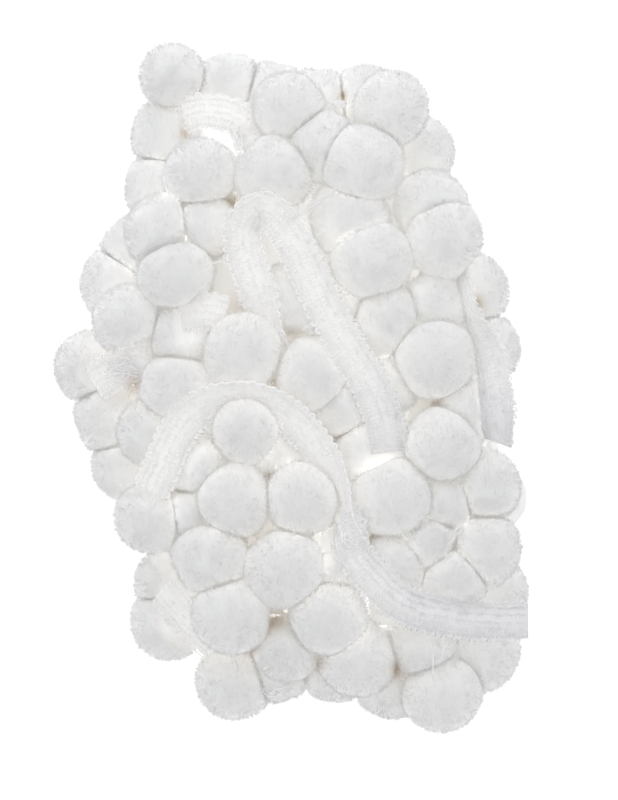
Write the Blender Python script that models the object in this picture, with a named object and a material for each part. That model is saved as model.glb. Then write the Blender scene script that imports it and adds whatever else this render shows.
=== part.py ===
"""Pompom fringe trim: a knitted heading tape with cut-yarn pompoms tied along one edge.

The trim is folded back and forth into a bundle that lies flat on a table. Buried lengths of
the tape lie on two decks between a lower and an upper layer of pompoms, and a few runs of
it surface on top. Each pompom hangs by a short tie from a narrow edge strip beside the tape.

Units are metres, +Z is up, and the origin is on the table under the middle of the bundle.
Sizes in the tables are millimetres: across is +X, up is +Y and lift is the height over the table.
"""
import math
import random
from collections import namedtuple

import bmesh
import bpy
from mathutils import Vector
from mathutils.geometry import closest_point_on_tri, intersect_point_line

MM = 0.001

# Trim sizes
TAPE_WIDTH = 10.5 * MM
TAPE_THICKNESS = 1.0 * MM
STRIP_WIDTH = 1.2 * MM
STRIP_THICKNESS = 1.2 * MM
STRIP_DROP = 0.9 * MM
TIE_RADIUS = 0.65 * MM
POMPOM_RADIUS = 9.5 * MM
PIECE_GAP = 0.3 * MM
POMPOM_GAP = 0.36 * MM

# Bundle sizes
LOWER_DECK = 18.9 * MM
UPPER_DECK = 20.5 * MM
FLOOR_SQUASH = 0.84
LOWER_LAYER_TOP = 24.0 * MM
UPPER_LAYER_BASE = 12.0 * MM
LOWER_PITCH = 19.0 * MM
LOWER_HALF_WIDTH = 60.0 * MM
LOWER_HALF_LENGTH = 88.0 * MM
LOWER_JITTER = 1.2 * MM
LOWER_COVER = 0.65
LOWER_CLEARANCE = 0.80
COVER_STEPS = 16
SOFTNESS = 14
RUN_STEP = 4.0 * MM
FOLD_STEPS = 6
LEG_TRIM = 2.0 * MM
TIE_STEPS = 40
RUN_PREFERENCE = 0.7
TIE_DEPTH = 0.15
SEED = 21

# Faces on a pompom: around, and from pole to pole
UPPER_FACETS = (10, 7)
LOWER_FACETS = (8, 6)

# Pompoms that show from above, row by row down the bundle: across, up, lift and radius
Place = namedtuple("Place", "across up lift radius")
POMPOM_ROWS = {
    "left_rim": (
        Place(-32.7, 85.0, 14, 8.4), Place(-34.3, 69.2, 8, 8.8), Place(-36.0, 54.5, 8, 8.8),
        Place(-35.6, 42.6, 27, 9.2), Place(-48.3, 28.0, 8, 8.9), Place(-44.5, 18.3, 26, 9.2),
        Place(-55.6, 6.3, 8, 8.8), Place(-49.0, -7.7, 8, 9.3), Place(-45.4, -21.8, 8, 8.2),
        Place(-38.6, -34.7, 26, 9.2), Place(-34.0, -51.5, 8, 8.0), Place(-34.0, -64.2, 8, 9.2),
        Place(-41.6, 37.9, 8, 8.8),
    ),
    "left_inner": (
        Place(-17.3, 81.6, 8, 8.8), Place(-24.8, 58.3, 28, 9.2), Place(-23.5, 43.9, 26, 8.5),
        Place(-31.0, 30.9, 30, 9.6), Place(-30.0, 15.0, 26, 8.6), Place(-31.3, 0.1, 28, 9.2),
        Place(-26.2, -20.7, 26, 8.8), Place(-22.1, -45.0, 28, 9.6), Place(-16.7, -61.4, 29, 9.8),
        Place(-16.2, -80.0, 8, 9.6),
    ),
    "centre": (
        Place(-1.1, 76.0, 25, 9.2), Place(-4.9, 57.4, 30, 9.7), Place(-0.3, 25.0, 26, 9.2),
        Place(-13.2, 10.1, 31, 10.2), Place(5.7, 3.9, 30, 9.7), Place(-12.4, -10.7, 31, 9.0),
        Place(-15.7, -30.1, 30, 9.8), Place(2.7, -29.3, 30, 9.9), Place(-1.4, -48.5, 31, 10.2),
        Place(9.7, -61.4, 28, 10.0), Place(-1.4, -70.1, 22, 8.6), Place(-3.5, -75.8, 8, 8.2),
        Place(-5.4, 78.7, 8, 8.9), Place(7.0, 77.0, 8, 8.9),
    ),
    "right_inner": (
        Place(20.8, 78.6, 8, 8.9), Place(27.0, 76.0, 25, 9.8), Place(7.6, 65.5, 26, 9.0),
        Place(18.9, 60.3, 30, 10.5), Place(15.4, 46.0, 27, 10.0), Place(21.3, 34.2, 31, 10.2),
        Place(25.7, 18.8, 28, 9.4), Place(14.3, -4.5, 26, 9.0), Place(20.8, -16.2, 26, 9.0),
        Place(27.5, -29.3, 29, 11.0), Place(27.8, -46.8, 26, 9.0), Place(17.8, -72.8, 22, 10.0),
        Place(11.5, -76.0, 8, 8.4), Place(26.5, -80.8, 8, 8.2),
    ),
    "right_rim": (
        Place(34.9, 64.6, 8, 9.0), Place(37.6, 49.5, 22, 9.3), Place(41.4, 40.1, 28, 9.7),
        Place(49.6, 27.1, 8, 8.9), Place(38.5, 22.0, 26, 8.4), Place(38.3, 8.2, 30, 10.8),
        Place(53.0, 10.4, 8, 8.8), Place(47.8, -6.1, 25, 9.2), Place(40.5, -15.3, 30, 9.9),
        Place(52.4, -26.1, 25, 9.0), Place(41.0, -30.0, 26, 8.0), Place(52.4, -43.3, 25, 9.2),
        Place(43.5, -51.0, 26, 8.4), Place(55.0, -54.8, 8, 8.8), Place(34.8, -68.3, 19, 9.0),
        Place(51.8, -71.6, 8, 9.8), Place(40.6, -82.6, 17, 10.3),
    ),
    "between": (
        Place(-38.6, -12.0, 24.5, 8.4), Place(-27.4, -33.2, 24.5, 8.2), Place(-4.0, -15.6, 25, 8.6),
        Place(12.4, -46.0, 25, 8.6), Place(12.8, 22.4, 25, 8.4), Place(25.5, 0.8, 26.5, 7.8),
        Place(36.4, -41.4, 26.5, 7.8),
    ),
}

# Buried folds of the tape: where each lower leg lies, where its ends turn, its fringe side
FoldLeg = namedtuple("FoldLeg", "across bottom top side")
BURIED_FOLDS = {
    "left": (
        FoldLeg(-37, -20, 34, -1), FoldLeg(-22, -52, 64, -1),
        FoldLeg(-7, -60, 62, 1), FoldLeg(-3, 4, 62, 1),
    ),
    "right": (
        FoldLeg(41, -60, 18, 1), FoldLeg(26, -63, 52, 1),
        FoldLeg(11, -60, 63, -1), FoldLeg(10, 20, 63, -1),
    ),
}

# Runs of tape that show on top: across, up, lift, and roll in degrees about the run
Turn = namedtuple("Turn", "across up lift roll")
Run = namedtuple("Run", "fringe_side route")
SURFACE_RUNS = {
    "top": Run(1, (
        Turn(-29.2, 73.6, 19, 15), Turn(-25.4, 74.7, 21, 20), Turn(-20.6, 74.7, 22.5, 25),
        Turn(-15.4, 73.2, 23, 20), Turn(-11.2, 69.6, 23, 10), Turn(-10.4, 64.6, 23.5, 0),
    )),
    "peak": Run(-1, (
        Turn(-4.5, 12.0, 26, 50), Turn(-6.6, 17.5, 31, 45), Turn(-9.2, 26.6, 34, 8),
        Turn(-12.4, 36.0, 33, 5), Turn(-13.0, 44.0, 33, -20), Turn(-7.6, 48.4, 35, -30),
        Turn(-1.6, 42.6, 35.5, -8), Turn(3.5, 32.5, 35.5, 0), Turn(8.9, 21.5, 35.5, 5),
        Turn(15.1, 10.4, 35.5, 0), Turn(21.6, -0.4, 35, 0), Turn(25.1, -11.0, 33.5, 0),
        Turn(26.0, -17.0, 31, 0),
    )),
    "wave": Run(1, (
        Turn(-38.0, -28.0, 33.5, 5), Turn(-35.4, -22.5, 33.5, 5), Turn(-32.2, -14.5, 33.5, 0),
        Turn(-27.0, -7.0, 34, -10), Turn(-18.6, -2.0, 35.5, -45), Turn(-8.6, -2.0, 36, -50),
        Turn(0.6, -8.6, 36, -20), Turn(7.8, -17.0, 35.5, -30), Turn(13.2, -26.0, 34.5, -65),
        Turn(14.8, -34.5, 34, -70), Turn(15.6, -42.0, 34.5, -25), Turn(21.2, -50.0, 34, 0),
        Turn(30.0, -57.8, 33, 0), Turn(42.0, -61.4, 31, 0), Turn(54.0, -62.6, 28, 0),
        Turn(63.6, -62.6, 25.5, 0),
    )),
    "side": Run(-1, (
        Turn(43.4, 33.0, 20, -30), Turn(45.0, 28.2, 27, -50), Turn(47.4, 20.6, 30.5, -60),
        Turn(52.4, 10.6, 29.5, -42), Turn(54.4, 1.5, 31, -32), Turn(55.2, -6.8, 32, -30),
        Turn(55.6, -14.6, 28.5, -45),
    )),
    "corner": Run(1, (
        Turn(-35.0, -54.5, 20, -30), Turn(-32.0, -57.6, 20.5, -35), Turn(-27.0, -63.4, 20.5, -35),
        Turn(-20.6, -69.4, 19, -35),
    )),
    "left_peep": Run(-1, (
        Turn(-53.2, 1.4, 18, 10), Turn(-47.8, 4.8, 21, 10), Turn(-42.2, 6.2, 24.5, -10),
        Turn(-38.6, 8.4, 27.5, -30), Turn(-38.6, 13.0, 28, -35),
    )),
    "notch": Run(1, (
        Turn(-30.0, 20.0, 31, 0), Turn(-25.2, 20.8, 33, 0), Turn(-21.0, 20.6, 33, 0),
        Turn(-17.8, 19.8, 32, 0),
    )),
}

TAPE_COLOUR = (0.80, 0.80, 0.81, 1.0)
YARN_COLOUR = (0.74, 0.74, 0.75, 1.0)

Ball = namedtuple("Ball", "name centre radius facets")
Patch = namedtuple("Patch", "owner corners reach")
Thread = namedtuple("Thread", "owner start end reach")
Plane = namedtuple("Plane", "normal distance")
Strip = namedtuple("Strip", "name deck side frames")

ACROSS = Vector((1, 0, 0))
UPWARD = Vector((0, 0, 1))


def clear_scene():
    for item in list(bpy.data.objects):
        bpy.data.objects.remove(item, do_unlink=True)


def make_collection(name):
    group = bpy.data.collections.new(name)
    bpy.context.scene.collection.children.link(group)
    return group


def make_material(name, colour, roughness):
    material = bpy.data.materials.new(name)
    material.use_nodes = True
    shader = material.node_tree.nodes["Principled BSDF"]
    shader.inputs["Base Color"].default_value = colour
    shader.inputs["Roughness"].default_value = roughness
    shader.inputs["Metallic"].default_value = 0.0
    return material


def add_object(name, bm, group, material):
    mesh = bpy.data.meshes.new(name)
    bm.to_mesh(mesh)
    bm.free()
    item = bpy.data.objects.new(name, mesh)
    group.objects.link(item)
    if material:
        mesh.materials.append(material)
    return item


# Pompom places

def shown_balls():
    """Every pompom that shows from above, read from the rows."""
    balls = []
    for row, places in POMPOM_ROWS.items():
        for count, place in enumerate(places):
            radius = place.radius * MM
            lift = max(place.lift * MM, radius * FLOOR_SQUASH)
            centre = Vector((place.across * MM, place.up * MM, lift))
            balls.append(Ball(f"{row}_{count}", centre, radius, UPPER_FACETS))
    return balls


def is_covered(centre, shown):
    """True where most of a lower pompom's rim is under pompoms that show."""
    hidden = 0
    for step in range(COVER_STEPS):
        angle = step * math.tau / COVER_STEPS
        rim = Vector((math.cos(angle), math.sin(angle))) * POMPOM_RADIUS
        point = centre.xy + rim
        if any((point - ball.centre.xy).length < ball.radius for ball in shown):
            hidden += 1
    return hidden >= LOWER_COVER * COVER_STEPS


def buried_balls(shown):
    """The lower layer: staggered rows on the table, wherever the shown pompoms leave room."""
    chance = random.Random(SEED)
    balls = []
    row_pitch = LOWER_PITCH * math.sqrt(0.75)
    row_count = int(2 * LOWER_HALF_LENGTH / row_pitch)
    column_count = int(2 * LOWER_HALF_WIDTH / LOWER_PITCH)
    for row in range(row_count):
        for column in range(column_count):
            shift = 0.5 * (row % 2)
            across = -LOWER_HALF_WIDTH + (column + 0.5 + shift) * LOWER_PITCH
            up = -LOWER_HALF_LENGTH + (row + 0.5) * row_pitch
            wobble = Vector((chance.uniform(-1, 1), chance.uniform(-1, 1), 0)) * LOWER_JITTER
            centre = Vector((across, up, POMPOM_RADIUS * FLOOR_SQUASH)) + wobble
            centre.z = POMPOM_RADIUS * FLOOR_SQUASH
            room = all((centre - ball.centre).length > (POMPOM_RADIUS + ball.radius) * LOWER_CLEARANCE
                       for ball in shown)
            if room and is_covered(centre, shown):
                balls.append(Ball(f"buried_{len(balls)}", centre, POMPOM_RADIUS, LOWER_FACETS))
    return balls


# Tape routes

def smooth_route(route):
    """Stations at an even step along a smooth curve through the turns of a run."""
    points = [Vector((turn.across * MM, turn.up * MM, turn.lift * MM, turn.roll)) for turn in route]
    first = points[0] * 2 - points[1]
    last = points[-1] * 2 - points[-2]
    padded = [first] + points + [last]
    stations = []
    for index in range(len(points) - 1):
        before, start, end, after = padded[index:index + 4]
        length = (end.xyz - start.xyz).length
        steps = max(1, round(length / RUN_STEP))
        for step in range(steps):
            part = step / steps
            bend = (before * -1 + start * 3 - end * 3 + after) * part ** 3
            sway = (before * 2 - start * 5 + end * 4 - after) * part ** 2
            slope = (end - before) * part
            stations.append(start + (bend + sway + slope) * 0.5)
    stations.append(points[-1])
    return stations


def run_frames(stations):
    """Middle, sideways and outward directions at each station of a run."""
    frames = []
    last = len(stations) - 1
    for index, station in enumerate(stations):
        ahead = stations[min(index + 1, last)].xyz
        behind = stations[max(index - 1, 0)].xyz
        along = (ahead - behind).normalized()
        level = along.cross(UPWARD).normalized()
        rise = level.cross(along)
        roll = math.radians(station.w)
        side = level * math.cos(roll) + rise * math.sin(roll)
        face = rise * math.cos(roll) - level * math.sin(roll)
        frames.append((station.xyz, side, face))
    return frames


def half_turn(across, up, start_lift, end_lift, outward):
    """Frames round the fold where the tape turns from one deck to the other."""
    middle = (start_lift + end_lift) / 2
    radius = (end_lift - start_lift) / 2
    climb = math.copysign(1, radius)
    frames = []
    for step in range(FOLD_STEPS + 1):
        angle = math.pi * step / FOLD_STEPS
        place = Vector((across, up + outward * abs(radius) * math.sin(angle),
                        middle - radius * math.cos(angle)))
        face = Vector((0, -outward * math.sin(angle), climb * math.cos(angle)))
        frames.append((place, ACROSS, face))
    return frames


def buried_frames(legs):
    """Frames of a whole back-and-forth section, from its first leg to its last end."""
    start = Vector((legs[0].across * MM, legs[0].bottom * MM, LOWER_DECK))
    frames = [(start, ACROSS, UPWARD)]
    for leg, following in zip(legs, legs[1:]):
        frames += half_turn(leg.across * MM, leg.top * MM, LOWER_DECK, UPPER_DECK, 1)
        if following is legs[-1]:
            end = Vector((following.across * MM, following.bottom * MM, UPPER_DECK))
            frames.append((end, ACROSS, -UPWARD))
        else:
            frames += half_turn(following.across * MM, following.bottom * MM,
                                UPPER_DECK, LOWER_DECK, -1)
    return frames


def leg_frames(start, end):
    """Two frames along one straight buried leg, a little inside its ends."""
    along = (end - start).normalized() * LEG_TRIM
    return [(start + along, ACROSS, UPWARD), (end - along, ACROSS, UPWARD)]


def leg_strips(section, legs):
    """The edge strips of one buried section, one for each leg on each deck.

    A lower strip hangs a little under its tape and an upper one stands a little over it,
    so that the ties leave without touching the tape.
    """
    strips = []
    low = LOWER_DECK - STRIP_DROP
    high = UPPER_DECK + STRIP_DROP
    for count, (leg, following) in enumerate(zip(legs, legs[1:]), start=1):
        bottom = Vector((leg.across * MM, leg.bottom * MM, low))
        top = Vector((leg.across * MM, leg.top * MM, low))
        strips.append(Strip(f"{section}_lower_{count}", "lower", leg.side,
                            leg_frames(bottom, top)))
        start = Vector((leg.across * MM, leg.top * MM, high))
        end = Vector((following.across * MM, following.bottom * MM, high))
        strips.append(Strip(f"{section}_upper_{count}", "upper", leg.side,
                            leg_frames(start, end)))
    return strips


# Solids

def band(frames, inner, outer, thickness):
    """A closed flat band that follows the frames, between two distances from their middle."""
    bm = bmesh.new()
    sections = []
    for middle, side, face in frames:
        low = face * -thickness / 2
        high = face * thickness / 2
        sections.append((middle + side * inner + low, middle + side * outer + low,
                         middle + side * outer + high, middle + side * inner + high))
    end_face = bm.faces.new([bm.verts.new(corner) for corner in sections[0]])
    for section in sections[1:]:
        grown = bmesh.ops.extrude_face_region(bm, geom=[end_face, *end_face.edges])["geom"]
        end_face = next(item for item in grown if isinstance(item, bmesh.types.BMFace))
        for vert, corner in zip(end_face.verts, section):
            vert.co = corner
    bmesh.ops.recalc_face_normals(bm, faces=bm.faces[:])
    return bm


def band_patches(owner, frames, inner, outer, thickness):
    """The band's middle surface as flat patches, for what lies against it."""
    patches = []
    for (start, start_side, _), (end, end_side, _) in zip(frames, frames[1:]):
        corners = (start + start_side * inner, start + start_side * outer,
                   end + end_side * outer, end + end_side * inner)
        patches.append(Patch(owner, corners, thickness / 2))
    return patches


def strip_offsets(strip):
    near = strip.side * (TAPE_WIDTH / 2 + PIECE_GAP)
    far = near + strip.side * STRIP_WIDTH
    return min(near, far), max(near, far)


def strip_line(strip):
    """The middle line of a strip, where its ties start."""
    inner, outer = strip_offsets(strip)
    return [middle + side * (inner + outer) / 2 for middle, side, _ in strip.frames]


def nearest_on_line(point, line):
    """The point on a polyline nearest to another point."""
    best = None
    for start, end in zip(line, line[1:]):
        part = intersect_point_line(point, start, end)[1]
        found = start.lerp(end, min(1.0, max(0.0, part)))
        if best is None or (found - point).length < (best - point).length:
            best = found
    return best


def may_hold(strip, ball):
    """A low pompom hangs from a lower leg, a high one from an upper leg, any from a run."""
    if strip.deck == "lower":
        return ball.centre.z < LOWER_LAYER_TOP
    if strip.deck == "upper":
        return ball.centre.z > UPPER_LAYER_BASE
    return True


def is_clear(root, inside, patches):
    """True where a straight tie keeps off every tape, beside it or above and below it."""
    for step in range(TIE_STEPS + 1):
        point = root.lerp(inside, step / TIE_STEPS)
        for patch in patches:
            away = nearest_on_patch(point, patch.corners) - point
            if away.length < TIE_RADIUS + patch.reach:
                first, second, _, last = patch.corners
                facing = (second - first).cross(last - first).normalized()
                through = abs(away.dot(facing))
                beside = math.sqrt(max(0.0, away.length_squared - through ** 2))
                if beside < TIE_RADIUS:
                    return False
    return True


def choose_strips(balls, strips, patches):
    """The strip and the tie of each pompom: the nearest strip with a clear way to it.

    To a high pompom a surface run counts as nearer than it is, because its ties show.
    """
    ties = {}
    for ball in balls:
        is_high = ball.centre.z > UPPER_LAYER_BASE
        choices = []
        for strip in strips:
            if may_hold(strip, ball):
                root = nearest_on_line(ball.centre, strip_line(strip))
                favour = RUN_PREFERENCE if is_high and strip.deck == "run" else 1.0
                choices.append(((root - ball.centre).length * favour, strip, root))
        choices.sort(key=lambda choice: choice[0])
        for _, strip, root in choices:
            part = TIE_DEPTH * ball.radius / (root - ball.centre).length
            inside = ball.centre.lerp(root, min(1.0, part))
            if is_clear(root, inside, patches):
                ties[ball.name] = Thread(strip.name, root, inside, TIE_RADIUS)
                break
    return ties


# What presses on a pompom

def plane_from(centre, nearest, corners, reach):
    """The flat that keeps a pompom clear of a convex thing with this nearest point."""
    toward = nearest - centre
    normal = toward.normalized()
    overhang = min(0.0, min((corner - nearest).dot(normal) for corner in corners))
    return Plane(normal, toward.length + overhang - reach - PIECE_GAP)


def nearest_on_patch(point, corners):
    one = closest_point_on_tri(point, corners[0], corners[1], corners[2])
    two = closest_point_on_tri(point, corners[0], corners[2], corners[3])
    return min((one, two), key=lambda found: (found - point).length)


def pressing_planes(ball, balls, patches, ties):
    """Every flat that squashes one pompom: its neighbours, the tape, strips and foreign ties."""
    planes = []
    for other in balls:
        apart = other.centre - ball.centre
        distance = apart.length
        if other.name != ball.name and distance < ball.radius + other.radius + POMPOM_GAP:
            meet = (distance ** 2 + ball.radius ** 2 - other.radius ** 2) / (2 * distance)
            planes.append(Plane(apart / distance, meet - POMPOM_GAP / 2))
    for patch in patches:
        nearest = nearest_on_patch(ball.centre, patch.corners)
        if (nearest - ball.centre).length < ball.radius + patch.reach + PIECE_GAP:
            planes.append(plane_from(ball.centre, nearest, patch.corners, patch.reach))
    for name, tie in ties.items():
        if name == ball.name:
            continue
        nearest = nearest_on_line(ball.centre, [tie.start, tie.end])
        if (nearest - ball.centre).length < ball.radius + tie.reach + PIECE_GAP:
            planes.append(plane_from(ball.centre, nearest, (tie.start, tie.end), tie.reach))
    return planes


def pressed_reach(ball, planes, direction):
    """How far a pompom reaches in one direction, rounded where it is pressed."""
    total = 1.0
    for plane in planes:
        facing = plane.normal.dot(direction)
        if facing > 0:
            total += (ball.radius * facing / plane.distance) ** SOFTNESS
    reach = ball.radius * total ** (-1 / SOFTNESS)
    if direction.z < 0:
        reach = min(reach, ball.centre.z / -direction.z)
    return reach


def pompom(ball, planes):
    """One cut-yarn ball, flattened where it is pressed and level where it rests."""
    around, pole_to_pole = ball.facets
    bm = bmesh.new()
    bmesh.ops.create_uvsphere(bm, u_segments=around, v_segments=pole_to_pole, radius=1)
    for vert in bm.verts:
        direction = vert.co.normalized()
        vert.co = ball.centre + direction * pressed_reach(ball, planes, direction)
    return bm


def tie_solid(tie):
    """A short bundle of thread from the strip into its pompom."""
    bm = bmesh.new()
    along = tie.end - tie.start
    bmesh.ops.create_cone(bm, cap_ends=True, segments=4, radius1=tie.reach, radius2=tie.reach,
                          depth=along.length)
    turn = along.to_track_quat("Z", "Y").to_matrix().to_4x4()
    bmesh.ops.transform(bm, matrix=turn, verts=bm.verts[:])
    bmesh.ops.translate(bm, vec=(tie.start + tie.end) / 2, verts=bm.verts[:])
    return bm


def fused(name, base, pieces, group, material):
    """One solid of a strip and everything tied to it."""
    helpers = make_collection(f"{name}_pieces")
    for count, piece in enumerate(pieces):
        helper = add_object(f"{name}_piece_{count}", piece, helpers, None)
        helper.hide_render = True
        helper.display_type = "WIRE"
    strip = add_object(f"{name}_strip", base, helpers, None)
    join = strip.modifiers.new("join", "BOOLEAN")
    join.operation = "UNION"
    join.solver = "EXACT"
    join.operand_type = "COLLECTION"
    join.collection = helpers
    helpers.objects.unlink(strip)
    bpy.context.scene.collection.objects.link(strip)
    bpy.context.view_layer.update()
    joined = strip.evaluated_get(bpy.context.evaluated_depsgraph_get())
    mesh = bpy.data.meshes.new_from_object(joined)
    mesh.name = name
    mesh.materials.clear()
    mesh.materials.append(material)
    bpy.data.objects.remove(strip, do_unlink=True)
    for helper in list(helpers.objects):
        bpy.data.objects.remove(helper, do_unlink=True)
    bpy.data.collections.remove(helpers)
    item = bpy.data.objects.new(name, mesh)
    group.objects.link(item)
    return item


def tape_frames():
    """The frames of every length of tape, buried or shown, by name."""
    lengths = {}
    for section, legs in BURIED_FOLDS.items():
        lengths[f"{section}_folds"] = buried_frames(legs)
    for name, run in SURFACE_RUNS.items():
        lengths[f"{name}_run"] = run_frames(smooth_route(run.route))
    return lengths


def all_strips(lengths):
    strips = []
    for section, legs in BURIED_FOLDS.items():
        strips += leg_strips(section, legs)
    for name, run in SURFACE_RUNS.items():
        strips.append(Strip(f"{name}_run", "run", run.fringe_side, lengths[f"{name}_run"][1:-1]))
    return strips


def lay_out():
    """Every length of tape, strip, pompom and tie, and the patches that press on the pompoms."""
    half = TAPE_WIDTH / 2
    lengths = tape_frames()
    shown = shown_balls()
    balls = shown + buried_balls(shown)
    strips = all_strips(lengths)
    patches = []
    for name, frames in lengths.items():
        patches += band_patches(name, frames, -half, half, TAPE_THICKNESS)
    ties = choose_strips(balls, strips, patches)
    used = {tie.owner for tie in ties.values()}
    strips = [strip for strip in strips if strip.name in used]
    for strip in strips:
        inner, outer = strip_offsets(strip)
        patches += band_patches(strip.name, strip.frames, inner, outer, STRIP_THICKNESS)
    return lengths, strips, balls, ties, patches


def build():
    clear_scene()
    group = make_collection("pompom_fringe_trim")
    tape_material = make_material("knit_tape", TAPE_COLOUR, 0.85)
    yarn_material = make_material("cut_yarn", YARN_COLOUR, 0.95)
    lengths, strips, balls, ties, patches = lay_out()
    half = TAPE_WIDTH / 2
    for name, frames in lengths.items():
        add_object(f"tape_{name}", band(frames, -half, half, TAPE_THICKNESS),
                   group, tape_material)
    for strip in strips:
        inner, outer = strip_offsets(strip)
        base = band(strip.frames, inner, outer, STRIP_THICKNESS)
        pieces = []
        for ball in balls:
            if ties[ball.name].owner == strip.name:
                pieces.append(tie_solid(ties[ball.name]))
                pieces.append(pompom(ball, pressing_planes(ball, balls, patches, ties)))
        fused(f"fringe_{strip.name}", base, pieces, group, yarn_material)


build()
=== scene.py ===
"""Pompom fringe trim: the soft goods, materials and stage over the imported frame.

Each fringe node is dressed with its pompoms, their cut pile, and the looped edging with its
threads. Each length of tape is a thin band with its knitted yarn on it. Units are metres, +Z is
up, and the tables are in millimetres: across is +X, up is +Y and lift is the height over the table.
"""
import functools
import math
import random
from collections import namedtuple

import bmesh
import bpy
import numpy as np
from bpy.props import FloatProperty, FloatVectorProperty, IntProperty, PointerProperty
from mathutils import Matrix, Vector, noise
from mathutils.geometry import closest_point_on_tri, intersect_point_line


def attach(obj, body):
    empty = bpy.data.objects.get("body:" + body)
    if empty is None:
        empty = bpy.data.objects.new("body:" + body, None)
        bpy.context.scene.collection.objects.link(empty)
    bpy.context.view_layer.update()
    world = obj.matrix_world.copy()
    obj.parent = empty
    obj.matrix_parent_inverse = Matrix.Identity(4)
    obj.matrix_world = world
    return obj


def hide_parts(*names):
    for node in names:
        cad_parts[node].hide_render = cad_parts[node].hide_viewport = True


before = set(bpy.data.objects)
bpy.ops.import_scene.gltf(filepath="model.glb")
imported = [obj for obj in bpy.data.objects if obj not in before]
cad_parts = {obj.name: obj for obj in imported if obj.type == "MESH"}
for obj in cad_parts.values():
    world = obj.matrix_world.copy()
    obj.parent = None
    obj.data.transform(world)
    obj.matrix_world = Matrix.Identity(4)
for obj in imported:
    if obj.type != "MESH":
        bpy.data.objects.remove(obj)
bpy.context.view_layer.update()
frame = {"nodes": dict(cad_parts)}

bl_info = {
    "name": "Pompom Fringe Trim",
    "version": (1, 0, 0),
    "blender": (4, 5, 0),
    "location": "View3D > Sidebar > Trim",
    "description": "Dresses a folded bundle of knitted tape with cut-yarn pompoms",
    "category": "Object",
}

MM = 0.001

# Trim sizes, as in the frame
TAPE_WIDTH = 10.5 * MM
TAPE_THICKNESS = 1.0 * MM
STRIP_WIDTH = 1.2 * MM
STRIP_THICKNESS = 1.2 * MM
STRIP_DROP = 0.9 * MM
TIE_RADIUS = 0.65 * MM
POMPOM_RADIUS = 9.5 * MM
PIECE_GAP = 0.3 * MM

# What the tape does to a pompom
PRESS_REACH = 1.3
TAPE_ROOM = 0.6 * MM
DENT_WIDTH = 1.2 * MM
DEEPEST_DENT = 3.0 * MM
FLAT_SLOPE = 0.001

# Bundle sizes, as in the frame
LOWER_DECK = 18.9 * MM
UPPER_DECK = 20.5 * MM
FLOOR_SQUASH = 0.84
LOWER_LAYER_TOP = 24.0 * MM
UPPER_LAYER_BASE = 12.0 * MM
LOWER_PITCH = 19.0 * MM
LOWER_HALF_WIDTH = 60.0 * MM
LOWER_HALF_LENGTH = 88.0 * MM
LOWER_JITTER = 1.2 * MM
LOWER_COVER = 0.65
LOWER_CLEARANCE = 0.80
COVER_STEPS = 16
RUN_STEP = 4.0 * MM
FOLD_STEPS = 6
LEG_TRIM = 2.0 * MM
TIE_STEPS = 40
RUN_PREFERENCE = 0.7
TIE_DEPTH = 0.15
SEED = 21

# Pompoms as they look
SOFT_GAP = 0.05 * MM
SOFTNESS = 9
SHOWN_LEVEL = 4
BURIED_LEVEL = 4
PILE_ROOM = 0.30 * MM
PILE_LOWEST = -0.35
# Painted light: the least glow of each fibre of the pile, which lightens the pompoms' rims
PILE_LIGHT = 0.42
CROWD_REACH = 32 * MM
CROWD_FADE = 4.0 * MM
CROWD_GROWTH = 0.26
BURIED_GROWTH = 0.40
LOW_CENTRE = 12 * MM
SHADE_RADIUS = 2.8 * MM

# Painted shade: spots where the way down between the pompoms stays open and is painted tan: across,
# up, radius
PAINTED_SHADE_SPOTS = (
    (-29.2, 68.6, 1.3), (-16.4, 50.2, 1.8), (-22.1, 37.5, 2.0), (-19.4, 27.0, 1.6),
    (-15.0, 21.6, 3.2), (-0.6, 18.1, 3.0), (-5.2, 1.8, 1.6), (9.6, -11.6, 3.2),
    (39.6, -4.4, 2.2), (-29.7, -26.8, 1.8), (-6.0, -22.6, 1.6), (-9.6, -39.6, 3.0),
    (22.4, -41.0, 1.8), (44.0, -34.0, 1.8), (-5.0, -64.0, 3.6), (8.4, -74.6, 1.8),
    (24.8, -58.6, 2.0), (27.4, -76.0, 2.0), (-11.0, -69.8, 2.2), (49.8, 22.8, 2.2),
    (-34.2, 10.4, 1.8), (9.6, 71.2, 1.5), (13.4, 79.4, 1.2), (-42.6, 1.6, 2.2),
)
# How deep in a crease and how low a point must be for the painted tan shade
SPOT_CREASE = 0.35
SPOT_TOP = 32 * MM
SPOT_DEPTH = 6 * MM

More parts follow.
